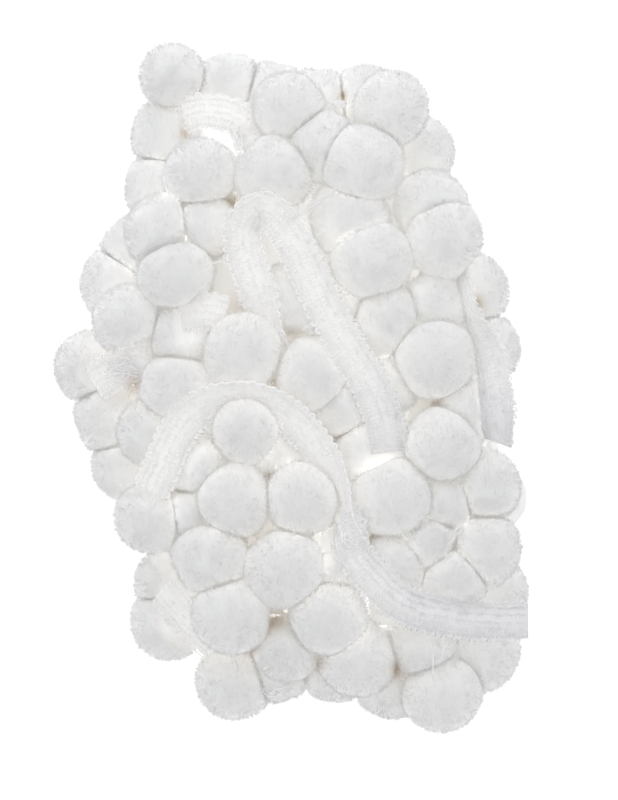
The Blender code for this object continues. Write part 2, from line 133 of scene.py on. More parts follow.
# Pompoms that show from above, row by row down the bundle: across, up, lift and radius
Place = namedtuple("Place", "across up lift radius")
POMPOM_ROWS = {
    "left_rim": (
        Place(-32.7, 85.0, 14, 8.4), Place(-34.3, 69.2, 8, 8.8), Place(-36.0, 54.5, 8, 8.8),
        Place(-35.6, 42.6, 27, 9.2), Place(-48.3, 28.0, 8, 8.9), Place(-44.5, 18.3, 26, 9.2),
        Place(-55.6, 6.3, 8, 8.8), Place(-49.0, -7.7, 8, 9.3), Place(-45.4, -21.8, 8, 8.2),
        Place(-38.6, -34.7, 26, 9.2), Place(-34.0, -51.5, 8, 8.0), Place(-34.0, -64.2, 8, 9.2),
        Place(-41.6, 37.9, 8, 8.8),
    ),
    "left_inner": (
        Place(-17.3, 81.6, 8, 8.8), Place(-24.8, 58.3, 28, 9.2), Place(-23.5, 43.9, 26, 8.5),
        Place(-31.0, 30.9, 30, 9.6), Place(-30.0, 15.0, 26, 8.6), Place(-31.3, 0.1, 28, 9.2),
        Place(-26.2, -20.7, 26, 8.8), Place(-22.1, -45.0, 28, 9.6), Place(-16.7, -61.4, 29, 9.8),
        Place(-16.2, -80.0, 8, 9.6),
    ),
    "centre": (
        Place(-1.1, 76.0, 25, 9.2), Place(-4.9, 57.4, 30, 9.7), Place(-0.3, 25.0, 26, 9.2),
        Place(-13.2, 10.1, 31, 10.2), Place(5.7, 3.9, 30, 9.7), Place(-12.4, -10.7, 31, 9.0),
        Place(-15.7, -30.1, 30, 9.8), Place(2.7, -29.3, 30, 9.9), Place(-1.4, -48.5, 31, 10.2),
        Place(9.7, -61.4, 28, 10.0), Place(-1.4, -70.1, 22, 8.6), Place(-3.5, -75.8, 8, 8.2),
        Place(-5.4, 78.7, 8, 8.9), Place(7.0, 77.0, 8, 8.9),
    ),
    "right_inner": (
        Place(20.8, 78.6, 8, 8.9), Place(27.0, 76.0, 25, 9.8), Place(7.6, 65.5, 26, 9.0),
        Place(18.9, 60.3, 30, 10.5), Place(15.4, 46.0, 27, 10.0), Place(21.3, 34.2, 31, 10.2),
        Place(25.7, 18.8, 28, 9.4), Place(14.3, -4.5, 26, 9.0), Place(20.8, -16.2, 26, 9.0),
        Place(27.5, -29.3, 29, 11.0), Place(27.8, -46.8, 26, 9.0), Place(17.8, -72.8, 22, 10.0),
        Place(11.5, -76.0, 8, 8.4), Place(26.5, -80.8, 8, 8.2),
    ),
    "right_rim": (
        Place(34.9, 64.6, 8, 9.0), Place(37.6, 49.5, 22, 9.3), Place(41.4, 40.1, 28, 9.7),
        Place(49.6, 27.1, 8, 8.9), Place(38.5, 22.0, 26, 8.4), Place(38.3, 8.2, 30, 10.8),
        Place(53.0, 10.4, 8, 8.8), Place(47.8, -6.1, 25, 9.2), Place(40.5, -15.3, 30, 9.9),
        Place(52.4, -26.1, 25, 9.0), Place(41.0, -30.0, 26, 8.0), Place(52.4, -43.3, 25, 9.2),
        Place(43.5, -51.0, 26, 8.4), Place(55.0, -54.8, 8, 8.8), Place(34.8, -68.3, 19, 9.0),
        Place(51.8, -71.6, 8, 9.8), Place(40.6, -82.6, 17, 10.3),
    ),
    "between": (
        Place(-38.6, -12.0, 24.5, 8.4), Place(-27.4, -33.2, 24.5, 8.2), Place(-4.0, -15.6, 25, 8.6),
        Place(12.4, -46.0, 25, 8.6), Place(12.8, 22.4, 25, 8.4), Place(25.5, 0.8, 26.5, 7.8),
        Place(36.4, -41.4, 26.5, 7.8),
    ),
}

# Buried folds of the tape: where each lower leg lies, where its ends turn, its fringe side
FoldLeg = namedtuple("FoldLeg", "across bottom top side")
BURIED_FOLDS = {
    "left": (
        FoldLeg(-37, -20, 34, -1), FoldLeg(-22, -52, 64, -1),
        FoldLeg(-7, -60, 62, 1), FoldLeg(-3, 4, 62, 1),
    ),
    "right": (
        FoldLeg(41, -60, 18, 1), FoldLeg(26, -63, 52, 1),
        FoldLeg(11, -60, 63, -1), FoldLeg(10, 20, 63, -1),
    ),
}

# Runs of tape that show on top: across, up, lift, and roll in degrees about the run
Turn = namedtuple("Turn", "across up lift roll")
Run = namedtuple("Run", "fringe_side route")
SURFACE_RUNS = {
    "top": Run(1, (
        Turn(-29.2, 73.6, 19, 15), Turn(-25.4, 74.7, 21, 20), Turn(-20.6, 74.7, 22.5, 25),
        Turn(-15.4, 73.2, 23, 20), Turn(-11.2, 69.6, 23, 10), Turn(-10.4, 64.6, 23.5, 0),
    )),
    "peak": Run(-1, (
        Turn(-4.5, 12.0, 26, 50), Turn(-6.6, 17.5, 31, 45), Turn(-9.2, 26.6, 34, 8),
        Turn(-12.4, 36.0, 33, 5), Turn(-13.0, 44.0, 33, -20), Turn(-7.6, 48.4, 35, -30),
        Turn(-1.6, 42.6, 35.5, -8), Turn(3.5, 32.5, 35.5, 0), Turn(8.9, 21.5, 35.5, 5),
        Turn(15.1, 10.4, 35.5, 0), Turn(21.6, -0.4, 35, 0), Turn(25.1, -11.0, 33.5, 0),
        Turn(26.0, -17.0, 31, 0),
    )),
    "wave": Run(1, (
        Turn(-38.0, -28.0, 33.5, 5), Turn(-35.4, -22.5, 33.5, 5), Turn(-32.2, -14.5, 33.5, 0),
        Turn(-27.0, -7.0, 34, -10), Turn(-18.6, -2.0, 35.5, -45), Turn(-8.6, -2.0, 36, -50),
        Turn(0.6, -8.6, 36, -20), Turn(7.8, -17.0, 35.5, -30), Turn(13.2, -26.0, 34.5, -65),
        Turn(14.8, -34.5, 34, -70), Turn(15.6, -42.0, 34.5, -25), Turn(21.2, -50.0, 34, 0),
        Turn(30.0, -57.8, 33, 0), Turn(42.0, -61.4, 31, 0), Turn(54.0, -62.6, 28, 0),
        Turn(63.6, -62.6, 25.5, 0),
    )),
    "side": Run(-1, (
        Turn(43.4, 33.0, 20, -30), Turn(45.0, 28.2, 27, -50), Turn(47.4, 20.6, 30.5, -60),
        Turn(52.4, 10.6, 29.5, -42), Turn(54.4, 1.5, 31, -32), Turn(55.2, -6.8, 32, -30),
        Turn(55.6, -14.6, 28.5, -45),
    )),
    "corner": Run(1, (
        Turn(-35.0, -54.5, 20, -30), Turn(-32.0, -57.6, 20.5, -35), Turn(-27.0, -63.4, 20.5, -35),
        Turn(-20.6, -69.4, 19, -35),
    )),
    "left_peep": Run(-1, (
        Turn(-53.2, 1.4, 18, 10), Turn(-47.8, 4.8, 21, 10), Turn(-42.2, 6.2, 24.5, -10),
        Turn(-38.6, 8.4, 27.5, -30), Turn(-38.6, 13.0, 28, -35),
    )),
    "notch": Run(1, (
        Turn(-30.0, 20.0, 31, 0), Turn(-25.2, 20.8, 33, 0), Turn(-21.0, 20.6, 33, 0),
        Turn(-17.8, 19.8, 32, 0),
    )),
}

# Knit of the tape: places across the tape, in millimetres from its middle
WALES = (-3.7, -1.9, 0.1, 1.9, 3.7)
WALE_WAVE = 0.36 * MM
WALE_RISE = 0.38 * MM
WEFT_RISE = 0.27 * MM
CRUMPLE = 0.36 * MM
CRUMPLE_PITCH = 2.0 * MM
BAND_THICKNESS = 0.70 * MM
BAND_TRIM = 0.5 * MM
EDGE_LOOP = 0.2 * MM

# Edging and threads
LOOP_RADIUS = 0.26 * MM
THREAD_RADIUS = 0.11 * MM
THREAD_SPREAD = 0.9 * MM

# Painted light and shade: glow and warm tint between the pompoms and on the tape, and tan spots
CREASE_START = 0.16
CREASE_END = 0.80
# Painted light on the runs of tape: their glow, and the span across in millimetres over which it
# weakens
RUN_LIGHT = 0.56
RUN_GLOW_FADE = (12.0, 34.0)
# Painted highlight: extra glow on the chain stitches of a run
WALE_LIGHT = 0.22
# Painted light: even glow of the loose yarn
LOOSE_LIGHT = 0.46
# Painted shade: tan colour of the deep spots
PAINTED_SHADE_COLOUR = (0.66, 0.54, 0.40, 1)

# Knots of loose yarn: middle, half sizes and turns. Loose threads: both ends, number and spread
Knot = namedtuple("Knot", "middle half turns")
Strands = namedtuple("Strands", "start end number spread")
KNOTS = (
    Knot((16.4, -37.6, 35.6), (4.4, 6.4, 1.0), 60), Knot((12.7, 76.6, 20.0), (2.4, 1.1, 0.8), 8),
    Knot((4.6, 16.6, 34.0), (1.5, 1.3, 1.0), 10), Knot((-45.2, 5.4, 25.4), (5.6, 3.8, 1.2), 26),
    Knot((-3.6, -80.6, 15.0), (4.6, 3.0, 1.0), 14), Knot((11.8, -80.0, 15.0), (2.4, 3.4, 1.0), 10),
    Knot((-5.6, 52.0, 34.0), (4.5, 2.2, 0.8), 16), Knot((46.2, 36.4, 30.0), (3.0, 2.0, 1.0), 12),
)
LOOSE_THREADS = (
    Strands((14.3, -42.3, 35.6), (11.2, -52.4, 33.5), 14, 1.1),
    Strands((11.6, -50.4, 35.0), (9.7, -61.4, 38.2), 2, 0.5),
    Strands((37.0, -66.4, 30.5), (38.4, -78.7, 27.4), 4, 0.7),
    Strands((41.8, -66.4, 30.0), (39.6, -74.0, 27.4), 3, 0.5),
    Strands((29.2, -8.5, 35.0), (31.3, -16.6, 34.5), 5, 0.8),
    Strands((-23.8, 17.1, 33.6), (-21.0, -0.4, 34.0), 6, 0.7),
    Strands((52.8, -14.6, 31.0), (52.6, -26.0, 34.6), 3, 0.5),
    Strands((-15.0, 70.4, 25.0), (-14.2, 61.7, 34.5), 9, 1.3),
    Strands((-34.3, -24.7, 34.5), (-38.6, -34.7, 35.6), 5, 0.8),
    Strands((-1.9, 44.6, 36.6), (11.6, 53.0, 36.4), 12, 0.9),
    Strands((38.8, -44.0, 33.4), (45.8, -36.8, 33.0), 16, 0.9),
    Strands((-20.0, 70.0, 24.0), (-12.0, 68.0, 25.0), 14, 2.2),
)
KNOT_YARN = 0.24 * MM
KNOT_STEPS = 12
KNOT_RATES = (1.0, 0.43, 1.71)
STRAND_YARN = 0.09 * MM

# Stage: the photo's frame is 618 by 800, and shows 216 mm from top to bottom
VIEW_CENTRE = (4.6 * MM, -3.1 * MM, 20 * MM)
VIEW_HEIGHT = 216 * MM
SENSOR = 36.0
FLOOR_HALF = 3.0

Ball = namedtuple("Ball", "name centre radius")
Patch = namedtuple("Patch", "owner corners reach")
Thread = namedtuple("Thread", "owner start end reach")
Plane = namedtuple("Plane", "normal distance")
Panel = namedtuple("Panel", "middle across along")
Strip = namedtuple("Strip", "name deck side frames")

ACROSS = Vector((1, 0, 0))
UPWARD = Vector((0, 0, 1))


# Sizes and colours that a user would change

class PompomSettings(bpy.types.PropertyGroup):
    """Sizes and colours of the pompoms."""
    pile_length: FloatProperty(
        name="Pile length", description="How far the cut fibres stand out of a pompom",
        default=1.5 * MM, min=0.0, unit="LENGTH", precision=5)
    pile_width: FloatProperty(
        name="Fibre width", description="Width of a fibre at its root",
        default=0.075 * MM, min=0.0, unit="LENGTH", precision=5)
    pile_count: IntProperty(
        name="Fibres", description="Fibres on each pompom", default=4000, min=0)
    lump_height: FloatProperty(
        name="Lumps", description="Height of the soft lumps on a pompom",
        default=0.5 * MM, min=0.0, unit="LENGTH", precision=5)
    colour: FloatVectorProperty(
        name="Yarn", description="Colour of the cut yarn", subtype="COLOR",
        size=3, default=(0.93, 0.933, 0.94), min=0.0, max=1.0)
    # Painted light: a warmer tint of the yarn down between the pompoms, for light bounced there
    painted_crease_tint: FloatVectorProperty(
        name="Crease yarn", description="Colour of the yarn down between the pompoms",
        subtype="COLOR", size=3, default=(0.94, 0.937, 0.925), min=0.0, max=1.0)
    # Painted light: glow of the yarn between the pompoms, standing in for light passing through it
    painted_crease_glow: FloatVectorProperty(
        name="Crease light", description="Light that comes through the yarn between the pompoms",
        subtype="COLOR", size=3, default=(0.116, 0.115, 0.112), min=0.0, max=1.0)


class TapeSettings(bpy.types.PropertyGroup):
    """Sizes and colours of the knitted tape, its edging and threads."""
    course_pitch: FloatProperty(
        name="Course pitch", description="Distance from one knitted course to the next",
        default=1.16 * MM, min=0.4 * MM, unit="LENGTH", precision=5)
    weft_radius: FloatProperty(
        name="Weft", description="Radius of the yarn that runs across the tape",
        default=0.33 * MM, min=0.0, unit="LENGTH", precision=5)
    wale_radius: FloatProperty(
        name="Wale", description="Radius of the chain stitches along the tape",
        default=0.20 * MM, min=0.0, unit="LENGTH", precision=5)
    colour: FloatVectorProperty(
        name="Tape", description="Colour of the tape", subtype="COLOR",
        size=3, default=(0.938, 0.938, 0.965), min=0.0, max=1.0)
    # Painted light: a warmer tint of the tape down between the pompoms, for light bounced there
    painted_crease_tint: FloatVectorProperty(
        name="Crease tape", description="Colour of the tape down between the pompoms",
        subtype="COLOR", size=3, default=(0.94, 0.935, 0.925), min=0.0, max=1.0)
    # Painted light: glow of the tape between the pompoms, standing in for light passing through it
    painted_crease_glow: FloatVectorProperty(
        name="Crease light", description="Light that comes through the tape between the pompoms",
        subtype="COLOR", size=3, default=(0.17, 0.168, 0.163), min=0.0, max=1.0)


class StageSettings(bpy.types.PropertyGroup):
    """Floor, light and camera."""
    floor_colour: FloatVectorProperty(
        name="Floor", description="Colour of the table", subtype="COLOR",
        size=3, default=(0.95, 0.95, 0.95), min=0.0, max=1.0)
    floor_glow: FloatProperty(
        name="Table glow", description="Light that comes up through the table", default=0.42,
        min=0.0)
    sky_strength: FloatProperty(
        name="Surround", description="Brightness of the white surround", default=0.78, min=0.0)
    key_power: FloatProperty(
        name="Key light", description="Power of the soft light beyond the top edge",
        default=0.6, min=0.0, unit="POWER")
    camera_distance: FloatProperty(
        name="Camera distance", description="Height of the camera over the bundle",
        default=2.4, min=0.5, unit="LENGTH")


# Pompom places

def shown_balls():
    """Every pompom that shows from above, read from the rows."""
    balls = []
    for row, places in POMPOM_ROWS.items():
        for count, place in enumerate(places):
            radius = place.radius * MM
            lift = max(place.lift * MM, radius * FLOOR_SQUASH)
            centre = Vector((place.across * MM, place.up * MM, lift))
            balls.append(Ball(f"{row}_{count}", centre, radius))
    return balls


def is_covered(centre, shown):
    """True where most of a lower pompom's rim is under pompoms that show."""
    hidden = 0
    for step in range(COVER_STEPS):
        angle = step * math.tau / COVER_STEPS
        rim = Vector((math.cos(angle), math.sin(angle))) * POMPOM_RADIUS
        point = centre.xy + rim
        if any((point - ball.centre.xy).length < ball.radius for ball in shown):
            hidden += 1
    return hidden >= LOWER_COVER * COVER_STEPS


def buried_balls(shown):
    """The lower layer: staggered rows on the table, wherever the shown pompoms leave room."""
    chance = random.Random(SEED)
    balls = []
    row_pitch = LOWER_PITCH * math.sqrt(0.75)
    row_count = int(2 * LOWER_HALF_LENGTH / row_pitch)
    column_count = int(2 * LOWER_HALF_WIDTH / LOWER_PITCH)
    for row in range(row_count):
        for column in range(column_count):
            shift = 0.5 * (row % 2)
            across = -LOWER_HALF_WIDTH + (column + 0.5 + shift) * LOWER_PITCH
            up = -LOWER_HALF_LENGTH + (row + 0.5) * row_pitch
            wobble = Vector((chance.uniform(-1, 1), chance.uniform(-1, 1), 0)) * LOWER_JITTER
            centre = Vector((across, up, POMPOM_RADIUS * FLOOR_SQUASH)) + wobble
            centre.z = POMPOM_RADIUS * FLOOR_SQUASH
            room = all((centre - ball.centre).length > (POMPOM_RADIUS + ball.radius) * LOWER_CLEARANCE
                       for ball in shown)
            if room and is_covered(centre, shown):
                balls.append(Ball(f"buried_{len(balls)}", centre, POMPOM_RADIUS))
    return balls


# Tape routes

def smooth_route(route, pitch=RUN_STEP):
    """Stations at an even step along a smooth curve through the turns of a run."""
    points = [Vector((turn.across * MM, turn.up * MM, turn.lift * MM, turn.roll)) for turn in route]
    first = points[0] * 2 - points[1]
    last = points[-1] * 2 - points[-2]
    padded = [first] + points + [last]
    stations = []
    for index in range(len(points) - 1):
        before, start, end, after = padded[index:index + 4]
        length = (end.xyz - start.xyz).length
        steps = max(1, round(length / pitch))
        for step in range(steps):
            part = step / steps
            bend = (before * -1 + start * 3 - end * 3 + after) * part ** 3
            sway = (before * 2 - start * 5 + end * 4 - after) * part ** 2
            slope = (end - before) * part
            stations.append(start + (bend + sway + slope) * 0.5)
    stations.append(points[-1])
    return stations


def run_frames(stations):
    """Middle, sideways and outward directions at each station of a run."""
    frames = []
    last = len(stations) - 1
    for index, station in enumerate(stations):
        ahead = stations[min(index + 1, last)].xyz
        behind = stations[max(index - 1, 0)].xyz
        along = (ahead - behind).normalized()
        level = along.cross(UPWARD).normalized()
        rise = level.cross(along)
        roll = math.radians(station.w)
        side = level * math.cos(roll) + rise * math.sin(roll)
        face = rise * math.cos(roll) - level * math.sin(roll)
        frames.append((station.xyz, side, face))
    return frames


def half_turn(across, up, start_lift, end_lift, outward):
    """Frames round the fold where the tape turns from one deck to the other."""
    middle = (start_lift + end_lift) / 2
    radius = (end_lift - start_lift) / 2
    climb = math.copysign(1, radius)
    frames = []
    for step in range(FOLD_STEPS + 1):
        angle = math.pi * step / FOLD_STEPS
        place = Vector((across, up + outward * abs(radius) * math.sin(angle),
                        middle - radius * math.cos(angle)))
        face = Vector((0, -outward * math.sin(angle), climb * math.cos(angle)))
        frames.append((place, ACROSS, face))
    return frames


def buried_frames(legs):
    """Frames of a whole back-and-forth section, from its first leg to its last end."""
    start = Vector((legs[0].across * MM, legs[0].bottom * MM, LOWER_DECK))
    frames = [(start, ACROSS, UPWARD)]
    for leg, following in zip(legs, legs[1:]):
        frames += half_turn(leg.across * MM, leg.top * MM, LOWER_DECK, UPPER_DECK, 1)
        if following is legs[-1]:
            end = Vector((following.across * MM, following.bottom * MM, UPPER_DECK))
            frames.append((end, ACROSS, -UPWARD))
        else:
            frames += half_turn(following.across * MM, following.bottom * MM,
                                UPPER_DECK, LOWER_DECK, -1)
    return frames


def leg_frames(start, end):
    """Two frames along one straight buried leg, a little inside its ends."""
    along = (end - start).normalized() * LEG_TRIM
    return [(start + along, ACROSS, UPWARD), (end - along, ACROSS, UPWARD)]


def leg_strips(section, legs):
    """The edge strips of one buried section, one for each leg on each deck."""
    strips = []
    low = LOWER_DECK - STRIP_DROP
    high = UPPER_DECK + STRIP_DROP
    for count, (leg, following) in enumerate(zip(legs, legs[1:]), start=1):
        bottom = Vector((leg.across * MM, leg.bottom * MM, low))
        top = Vector((leg.across * MM, leg.top * MM, low))
        strips.append(Strip(f"{section}_lower_{count}", "lower", leg.side,
                            leg_frames(bottom, top)))
        start = Vector((leg.across * MM, leg.top * MM, high))
        end = Vector((following.across * MM, following.bottom * MM, high))
        strips.append(Strip(f"{section}_upper_{count}", "upper", leg.side,
                            leg_frames(start, end)))
    return strips


def strip_offsets(strip):
    near = strip.side * (TAPE_WIDTH / 2 + PIECE_GAP)
    far = near + strip.side * STRIP_WIDTH
    return min(near, far), max(near, far)


def strip_line(strip):
    """The middle line of a strip, where its ties start."""
    inner, outer = strip_offsets(strip)
    return [middle + side * (inner + outer) / 2 for middle, side, _ in strip.frames]


def band_patches(owner, frames, inner, outer, thickness):
    """The band's middle surface as flat patches, for what lies against it."""
    patches = []
    for (start, start_side, _), (end, end_side, _) in zip(frames, frames[1:]):
        corners = (start + start_side * inner, start + start_side * outer,
                   end + end_side * outer, end + end_side * inner)
        patches.append(Patch(owner, corners, thickness / 2))
    return patches


def nearest_on_line(point, line):
    """The point on a polyline nearest to another point."""
    best = None
    for start, end in zip(line, line[1:]):
        part = intersect_point_line(point, start, end)[1]
        found = start.lerp(end, min(1.0, max(0.0, part)))
        if best is None or (found - point).length < (best - point).length:
            best = found
    return best


def nearest_on_patch(point, corners):
    one = closest_point_on_tri(point, corners[0], corners[1], corners[2])
    two = closest_point_on_tri(point, corners[0], corners[2], corners[3])
    return min((one, two), key=lambda found: (found - point).length)


def may_hold(strip, ball):
    """A low pompom hangs from a lower leg, a high one from an upper leg, any from a run."""
    if strip.deck == "lower":
        return ball.centre.z < LOWER_LAYER_TOP
    if strip.deck == "upper":
        return ball.centre.z > UPPER_LAYER_BASE
    return True


def is_clear(root, inside, patches):
    """True where a straight tie keeps off every tape, beside it or above and below it."""
    for step in range(TIE_STEPS + 1):
        point = root.lerp(inside, step / TIE_STEPS)
        for patch in patches:
            away = nearest_on_patch(point, patch.corners) - point
            if away.length < TIE_RADIUS + patch.reach:
                first, second, _, last = patch.corners
                facing = (second - first).cross(last - first).normalized()
                through = abs(away.dot(facing))
                beside = math.sqrt(max(0.0, away.length_squared - through ** 2))
                if beside < TIE_RADIUS:
                    return False
    return True


def choose_strips(balls, strips, patches):
    """The strip and the tie of each pompom: the nearest strip with a clear way to it."""
    ties = {}
    for ball in balls:
        is_high = ball.centre.z > UPPER_LAYER_BASE
        choices = []
        for strip in strips:
            if may_hold(strip, ball):
                root = nearest_on_line(ball.centre, strip_line(strip))
                favour = RUN_PREFERENCE if is_high and strip.deck == "run" else 1.0
                choices.append(((root - ball.centre).length * favour, strip, root))
        choices.sort(key=lambda choice: choice[0])
        for _, strip, root in choices:
            part = TIE_DEPTH * ball.radius / (root - ball.centre).length
            inside = ball.centre.lerp(root, min(1.0, part))
            if is_clear(root, inside, patches):
                ties[ball.name] = Thread(strip.name, root, inside, TIE_RADIUS)
                break
    return ties


@functools.cache
def lay_out():
    """Every length of tape, strip, pompom and tie, and the patches that press on the pompoms."""
    half = TAPE_WIDTH / 2
    lengths = {f"{section}_folds": buried_frames(legs) for section, legs in BURIED_FOLDS.items()}
    for name, run in SURFACE_RUNS.items():
        lengths[f"{name}_run"] = run_frames(smooth_route(run.route))
    shown = shown_balls()
    balls = shown + buried_balls(shown)
    strips = []
    for section, legs in BURIED_FOLDS.items():
        strips += leg_strips(section, legs)
    for name, run in SURFACE_RUNS.items():
        strips.append(Strip(f"{name}_run", "run", run.fringe_side, lengths[f"{name}_run"][1:-1]))
    patches = []
    for name, frames in lengths.items():
        patches += band_patches(name, frames, -half, half, TAPE_THICKNESS)
    ties = choose_strips(balls, strips, patches)
    used = {tie.owner for tie in ties.values()}
    strips = [strip for strip in strips if strip.name in used]
    for strip in strips:
        inner, outer = strip_offsets(strip)
        patches += band_patches(strip.name, strip.frames, inner, outer, STRIP_THICKNESS)
    return lengths, strips, balls, ties, patches


# Making pieces

def new_piece(name, mesh, material):
    """A finished piece at the origin that rides on the bundle."""
    if "crease" not in mesh.attributes:
        shaded_by_place(mesh)
    mesh.materials.clear()
    mesh.materials.append(material)
    mesh.shade_smooth()
    piece = bpy.data.objects.new(name, mesh)
    bpy.context.scene.collection.objects.link(piece)
    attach(piece, "root")
    return piece


def mesh_from(name, bm):
    mesh = bpy.data.meshes.new(name)
    bm.to_mesh(mesh)
    bm.free()
    return mesh


def yarn_mesh(name, paths, radius, sides):
    """Round yarn along each path, as one mesh. A path is a list of points."""
    curve = bpy.data.curves.new(name, "CURVE")
    curve.dimensions = "3D"
    curve.bevel_depth = radius
    curve.bevel_resolution = max(0, (sides - 4) // 2)
    curve.use_fill_caps = True
    for path in paths:
        spline = curve.splines.new("POLY")
        spline.points.add(len(path) - 1)
        flat = np.ones((len(path), 4))
        flat[:, :3] = path
        spline.points.foreach_set("co", flat.ravel())
    helper = bpy.data.objects.new(name, curve)
    bpy.context.scene.collection.objects.link(helper)
    bpy.context.view_layer.update()
    shown = helper.evaluated_get(bpy.context.evaluated_depsgraph_get())
    mesh = bpy.data.meshes.new_from_object(shown)
    mesh.name = name
    bpy.data.objects.remove(helper, do_unlink=True)
    bpy.data.curves.remove(curve)
    return mesh


# What presses on a pompom

def pressing_planes(ball, balls):
    """Every flat where a pompom meets a neighbour."""
    planes = []
    for other in balls:
        apart = other.centre - ball.centre
        distance = apart.length
        if other.name != ball.name and distance < ball.radius + other.radius + SOFT_GAP:
            meet = (distance ** 2 + ball.radius ** 2 - other.radius ** 2) / (2 * distance)
            planes.append(Plane(apart / distance, meet - SOFT_GAP / 2))
    return planes


def pressing_panels(ball, patches):
    """The flats of tape and strip that lie against a pompom, seen from its middle."""
    panels = []
    for patch in patches:
        nearest = nearest_on_patch(ball.centre, patch.corners)
        if (nearest - ball.centre).length < PRESS_REACH * ball.radius:
            first, second, third, last = (corner - ball.centre for corner in patch.corners)
            middle = (first + second + third + last) / 4
            across = (second + third - first - last) / 4
            along = (third + last - first - second) / 4
            panels.append(Panel(np.array(middle), np.array(across), np.array(along)))
    return panels


def pressed_limit(panels, directions):
    """How far each direction goes before it meets the tape, and more beside the tape."""
    limit = np.full(len(directions), np.inf)
    for panel in panels:
        facing = np.cross(panel.across, panel.along)
        facing /= np.linalg.norm(facing)
        depth = panel.middle @ facing
        slope = directions @ facing
        ahead = depth / np.where(np.abs(slope) < FLAT_SLOPE, FLAT_SLOPE, slope)
        met = directions * ahead[:, None] - panel.middle
        beside = np.zeros(len(directions))
        for arm in (panel.across, panel.along):
            half = np.linalg.norm(arm)
            beside = np.hypot(beside, np.maximum(np.abs(met @ arm) / half - half, 0.0))
        reach = np.maximum(ahead - TAPE_ROOM, DEEPEST_DENT) + beside ** 2 / DENT_WIDTH
        limit = np.where(ahead > 0, np.minimum(limit, reach), limit)
    return limit


def crowding(ball, balls, directions):
    """From 0 to 1 in each direction: how near the next pompom is to this one's surface."""
    points = np.array(ball.centre) + directions * ball.radius
    closest = np.full(len(directions), np.inf)
    for other in balls:
        if other.name != ball.name and (other.centre - ball.centre).length < CROWD_REACH:
            gap = np.linalg.norm(points - np.array(other.centre), axis=1) - other.radius
            closest = np.minimum(closest, gap)
    return np.exp(-np.maximum(closest, 0.0) / CROWD_FADE)


def swollen_reaches(ball, balls, presses, directions):
    """The pressed pompom, swollen a little towards its neighbours so that it meets them."""
    planes, panels = presses
    swelling = BURIED_GROWTH if ball.centre.z < LOW_CENTRE else CROWD_GROWTH
    growth = 1 + swelling * crowding(ball, balls, directions)
    total = growth ** -SOFTNESS + (ball.radius / pressed_limit(panels, directions)) ** SOFTNESS
    for plane in planes:
        facing = np.maximum(directions @ np.array(plane.normal), 0.0)
        total += (ball.radius * facing / plane.distance) ** SOFTNESS
    reach = ball.radius * total ** (-1 / SOFTNESS)
    downward = directions[:, 2] < 0
    floor = np.full(len(directions), np.inf)
    floor[downward] = ball.centre.z / -directions[downward, 2]
    return np.minimum(reach, floor)


def shades(patches):
    """Centres and radii of what shades the yarn: every pompom and the tape between them."""
    found = [(ball.centre, ball.radius) for ball in lay_out()[2]]
    for patch in patches:
        if patch.owner.endswith("_run"):
            found.append((sum(patch.corners, Vector()) / len(patch.corners), SHADE_RADIUS))
    return np.array([(*centre, radius) for centre, radius in found])


def crease_depths(points, normals, own_centre=None):
    """From 0 in the open to 1 deep between the pompoms, at each point."""
    hidden = np.zeros(len(points))
    if not len(points):
        return hidden
    middle = points.mean(axis=0)
    widest = np.linalg.norm(points - middle, axis=1).max()
    for *centre, radius in shades(lay_out()[4]):
        far = np.linalg.norm(centre - middle)
        if own_centre is not None and np.linalg.norm(centre - own_centre) < PIECE_GAP:
            continue
        if far < CROWD_REACH + widest:
            toward = centre - points
            distance = np.linalg.norm(toward, axis=1)
            facing = (toward * normals).sum(axis=1) / distance
            seen = np.minimum(radius / distance, 1.0) ** 2
            hidden += np.clip(0.25 + 0.75 * facing, 0, 1) * seen
    return 1 - np.exp(-hidden)


def painted_shade_depths(points, creases):
    """Painted shade mask: from 0 to 1 in the open spots where the eye goes deep between the pompoms.
    """
    found = np.zeros(len(points))
    for across, up, radius in PAINTED_SHADE_SPOTS:
        away = np.hypot(points[:, 0] - across * MM, points[:, 1] - up * MM) / (radius * MM)
        found = np.maximum(found, np.exp(-away ** 2))
    sunk = np.clip((SPOT_TOP - points[:, 2]) / SPOT_DEPTH, 0, 1)
    return found * sunk * np.clip((creases - SPOT_CREASE) / SPOT_CREASE, 0, 1)


def give_depths(mesh, creases, points):
    """The crease and painted shade spot of each point, kept on the mesh for its material."""
    for name, values in (("crease", creases), ("spot", painted_shade_depths(points, creases))):
        mesh.attributes.new(name, "FLOAT", "POINT").data.foreach_set("value", values)


def shaded_by_place(mesh):
    """Crease and spot of every point of the tape and edging, from where it lies; on a run and on
    loose yarn the crease value is a painted glow set by place.
    """
    points = np.empty(3 * len(mesh.vertices))
    normals = np.empty(3 * len(mesh.vertices))
    mesh.vertices.foreach_get("co", points)
    mesh.vertices.foreach_get("normal", normals)
    points = points.reshape(-1, 3)
    normals = normals.reshape(-1, 3)
    if "_run" in mesh.name:
        # Painted light: a run glows by an amount set by where it lies, weaker from x 12 to 34 mm and
        # more so below y 0, which paints it greyer to the right
        start, end = RUN_GLOW_FADE
        shade_to_right = np.clip((points[:, 0] / MM - start) / (end - start), 0.0, 1.0)
        low = points[:, 1] < 0.0
        creases = RUN_LIGHT * (1 - shade_to_right * np.where(low, 0.6, 0.3))
    elif "loose" in mesh.name:
        # Painted light: the loose yarn glows evenly
        creases = np.full(len(points), LOOSE_LIGHT)
    else:
        creases = crease_depths(points, normals)
    give_depths(mesh, creases, points)


def light_wales(mesh, first):
    """Painted highlight: more glow on the chain stitches of a run, from the first of their points on.
    """
    values = mesh.attributes["crease"].data
    for value in values[first:]:
        value.value += WALE_LIGHT


def lumps(points, height):
    """Soft lumps of the cut yarn, as a height at each point."""
    heights = np.empty(len(points))
    for index, point in enumerate(points):
        broad = noise.noise(Vector(point) / (5.2 * MM))
        fine = noise.noise(Vector(point) / (1.7 * MM))
        heights[index] = height * (broad + 0.3 * fine)
    return heights


